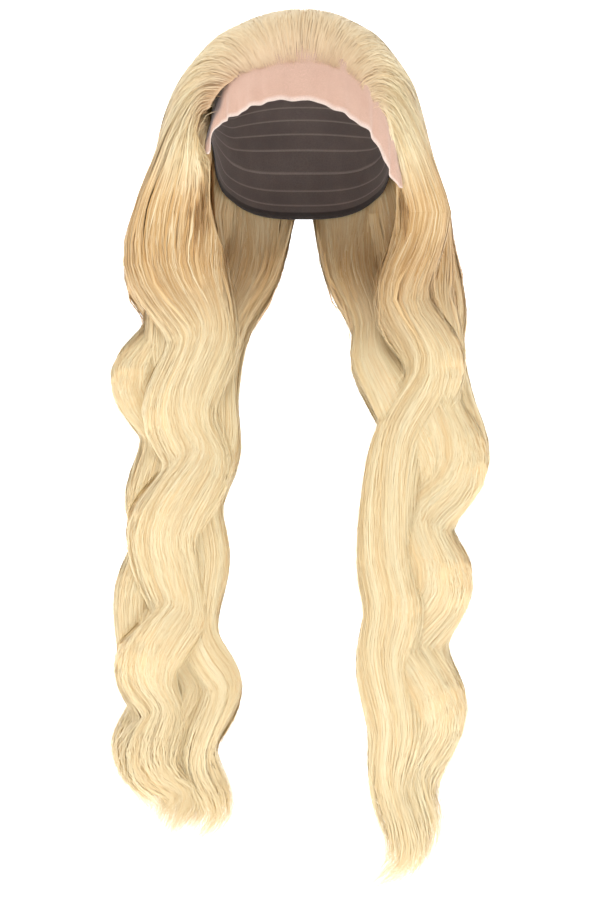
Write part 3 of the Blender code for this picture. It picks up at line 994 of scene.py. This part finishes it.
def ribbons(name, paths, outward, widths, shade, along, material):
    """Many strands of hair as one mesh: a flat, tapered ribbon along each path."""
    count, points = paths.shape[:2]
    tangent = unit(np.gradient(paths, axis=1))
    side = unit(np.cross(tangent, outward)) * widths[..., None] / 2
    corners = np.stack([paths - side, paths + side], axis=2).reshape(-1, 3)
    first = (np.arange(count)[:, None] * points + np.arange(points - 1)[None, :]) * 2
    quads = np.stack([first, first + 1, first + 3, first + 2], axis=-1).reshape(-1, 4)
    mesh = bpy.data.meshes.new(name)
    mesh.vertices.add(len(corners))
    mesh.vertices.foreach_set("co", corners.ravel())
    mesh.loops.add(quads.size)
    mesh.loops.foreach_set("vertex_index", quads.ravel())
    mesh.polygons.add(len(quads))
    mesh.polygons.foreach_set("loop_start", np.arange(len(quads)) * 4)
    mesh.polygons.foreach_set("loop_total", np.full(len(quads), 4))
    mesh.update(calc_edges=True)
    across = together(shade - HALF_STRAND_ON_MAP, shade + HALF_STRAND_ON_MAP)[:, None, :]
    spots = together(across, along[..., None]).reshape(-1, 2)
    layer = mesh.uv_layers.new(name="OFBake")
    layer.uv.foreach_set("vector", spots[quads.ravel()].ravel())
    mesh.shade_smooth()
    mesh.materials.append(material)
    obj = bpy.data.objects.new(name, mesh)
    bpy.context.scene.collection.objects.link(obj)
    return obj


# Every lock gets its core and its strands, and a veil of broader strands, darker with painted
# shade, lies under them where they leave the crown. What lies over the crown is joined for each
# side.
STRAND_WIDTH = 0.00065
STRAND_WIDTHS = (0.6, 1.25)
STRAY_WIDTH = 0.45
STRAND_TILT = 0.14
VEIL_EVERY = 8
VEIL_STEPS = 10
VEIL_WIDTH = 0.0032
VEIL_WIDENS = (0.02, 0.10)
VEIL_NARROWS = 0.10
VEIL_DEPTH = 0.0012
VEIL_SINKS = (0.01, 0.06)
upper = {side: [] for side in SIDE_SIGN}
veils = {side: [] for side in SIDE_SIGN}
for name, (side, *_) in LOCKS.items():
    core = lock_core(name)
    fall, fall_out, shade, is_stray = lock_strands(name, STRANDS_A_LOCK)
    crown, crown_out, t = crown_strands(fall[:, 0], fall_out[:, 0])
    tilt = draw.normal(0, STRAND_TILT, (STRANDS_A_LOCK, 1, 1))
    thick = STRAND_WIDTH * draw.uniform(*STRAND_WIDTHS, (STRANDS_A_LOCK, 1))
    thick = thick * np.where(is_stray, STRAY_WIDTH, 1.0)[:, None]
    share = np.linspace(0, 1, FALL_STEPS)[None, :]
    along_fall = ALONG_CROWN + (1 - ALONG_CROWN) * share + 0 * thick
    facing = tilted(fall, fall_out, tilt)
    widths = thick * taper(along_fall)
    lock = ribbons(f"lock_{name}", fall, facing, widths, shade, along_fall, hair)
    for piece in (core, lock):
        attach(piece, "root")
        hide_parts(f"hair_fall_{side}")
    along = ALONG_CROWN * t
    facing = tilted(crown, crown_out, tilt)
    upper[side].append((crown, facing, thick * taper(along), shade, along))
    path, out, along = (
        np.concatenate([over[::VEIL_EVERY], below[::VEIL_EVERY, 1:VEIL_STEPS]], axis=1)
        for over, below in ((crown, fall), (crown_out, fall_out), (along, along_fall))
    )
    path = path - out * (VEIL_DEPTH * rise(along, *VEIL_SINKS))[..., None]
    widths = VEIL_WIDTH * rise(along, *VEIL_WIDENS) * ease((along.max() - along) / VEIL_NARROWS)
    veils[side].append((path, out, widths, shade[::VEIL_EVERY], along))
for side in SIDE_SIGN:
    joined = [np.concatenate(part) for part in zip(*upper[side])]
    crown_hair = ribbons(f"crown_{side}_strands", *joined, hair)
    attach(crown_hair, "root")
    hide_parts("hair_crown")
    joined = [np.concatenate(part) for part in zip(*veils[side])]
    veil = ribbons(f"veil_{side}", *joined, shaded_under_hair)
    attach(veil, "root")
    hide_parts("hair_crown", f"hair_fall_{side}")


# The short hair of the crown. Shorter strands are tied evenly between those that reach the
# locks, fill the crown and end under them.
CROWN_ONLY = 1400
CROWN_ENDS_SUNK = 0.005
CROWN_ENDS_DROP = 0.040
CROWN_ENDS_START = 0.7
CROWN_ENDS_BESIDE = (0.02, 0.05)
CROWN_ENDS = (0.93, 1.04)
CROWN_ENDS_TAPER = 0.12
CROWN_SHADE_SPREAD = 0.2
turns = 360 - FACE_ANGLES[1] + FACE_ANGLES[0]
angle = FACE_ANGLES[1] + turns * draw.uniform(0, 1, CROWN_ONLY)
angle = np.where(angle > 180, angle - 360, angle)
end = rim_points(angle)
end_out = unit(end * np.array([1.0, 1.0, 0.0]))
paths, outward, t = crown_strands(end - end_out * CROWN_ENDS_SUNK, end_out)
beside = rise(np.abs(end[:, :1]), *CROWN_ENDS_BESIDE)
drop = draw.uniform(0, CROWN_ENDS_DROP, (CROWN_ONLY, 1)) * beside
paths[..., 2] -= drop * rise(t, CROWN_ENDS_START, 1)
along = ALONG_CROWN * t
shade = np.clip(0.5 + draw.normal(0, CROWN_SHADE_SPREAD, CROWN_ONLY), *SHADE_ENDS)
thick = STRAND_WIDTH * draw.uniform(*STRAND_WIDTHS, (CROWN_ONLY, 1)) * taper(along)
last = draw.uniform(*CROWN_ENDS, (CROWN_ONLY, 1))
thick = thick * ease(TIP_FINE + (last - t) / CROWN_ENDS_TAPER)
crown_fill = ribbons("crown_fill", paths, outward, thick, shade, along, hair)
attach(crown_fill, "root")
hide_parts("hair_crown")


# The studio. A white sweep that glows behind and under the wig, and soft lamps from the front.
CAMERA_BACK = 2.0
CAMERA_ACROSS = -0.0025
CAMERA_HEIGHT = -0.21
FRAME_MIDDLE = -0.347
FRAME_HEIGHT = 0.747
SENSOR = 24
LAMP_AIM = Vector((0, 0, -0.3))
FLOOR = -0.80
SWEEP = [
    # back, height
    (-4.0, 0.0),
    (2.2, 0.0),
    (2.55, 0.09),
    (2.8, 0.35),
    (2.9, 0.7),
    (2.9, 3.6),
]
shape = bmesh.new()
bmesh.ops.create_grid(shape, x_segments=1, y_segments=len(SWEEP) - 1, size=3)
rows = sorted({round(v.co.y, 4) for v in shape.verts})
for vert in shape.verts:
    back, height = SWEEP[rows.index(round(vert.co.y, 4))]
    vert.co.y = back
    vert.co.z = FLOOR + height
mesh = bpy.data.meshes.new("sweep")
shape.to_mesh(mesh)
shape.free()
mesh.shade_smooth()
sweep = bpy.data.objects.new("sweep", mesh)
bpy.context.scene.collection.objects.link(sweep)
white = bpy.data.materials.new("white_sweep")
white.use_nodes = True
shader = white.node_tree.nodes["Principled BSDF"]
shader.inputs["Base Color"].default_value = (0.9, 0.9, 0.9, 1)
shader.inputs["Roughness"].default_value = 0.9
shader.inputs["Emission Color"].default_value = (1, 1, 1, 1)
shader.inputs["Emission Strength"].default_value = 0.95
mesh.materials.append(white)

world = bpy.data.worlds.new("studio")
world.use_nodes = True
world.node_tree.nodes["Background"].inputs["Color"].default_value = (1, 1, 1, 1)
world.node_tree.nodes["Background"].inputs["Strength"].default_value = 0.50
bpy.context.scene.world = world

LAMPS = [
    # name, place, size, power
    ("key", (-0.5, -1.3, 1.9), 1.4, 32),
    ("fill", (1.1, -2.0, 0.2), 1.6, 5),
    ("left rim", (-1.6, 0.4, 0.0), 1.4, 8),
    ("right rim", (1.6, 0.4, 0.0), 1.4, 8),
]
for name, place, size, power in LAMPS:
    data = bpy.data.lights.new(name, "AREA")
    data.size = size
    data.energy = power
    lamp = bpy.data.objects.new(name, data)
    bpy.context.scene.collection.objects.link(lamp)
    lamp.location = place
    lamp.rotation_euler = (LAMP_AIM - lamp.location).to_track_quat("-Z", "Y").to_euler()

camera_data = bpy.data.cameras.new("camera")
camera_data.sensor_fit = "VERTICAL"
camera_data.sensor_height = SENSOR
camera_data.lens = SENSOR * CAMERA_BACK / FRAME_HEIGHT
camera = bpy.data.objects.new("camera", camera_data)
bpy.context.scene.collection.objects.link(camera)
camera.location = (CAMERA_ACROSS, -CAMERA_BACK, CAMERA_HEIGHT)
tilt_down = atan((CAMERA_HEIGHT - FRAME_MIDDLE) / CAMERA_BACK)
camera.rotation_euler = (radians(90) - tilt_down, 0, 0)
bpy.context.scene.camera = camera
bpy.context.scene.view_settings.view_transform = "Standard"
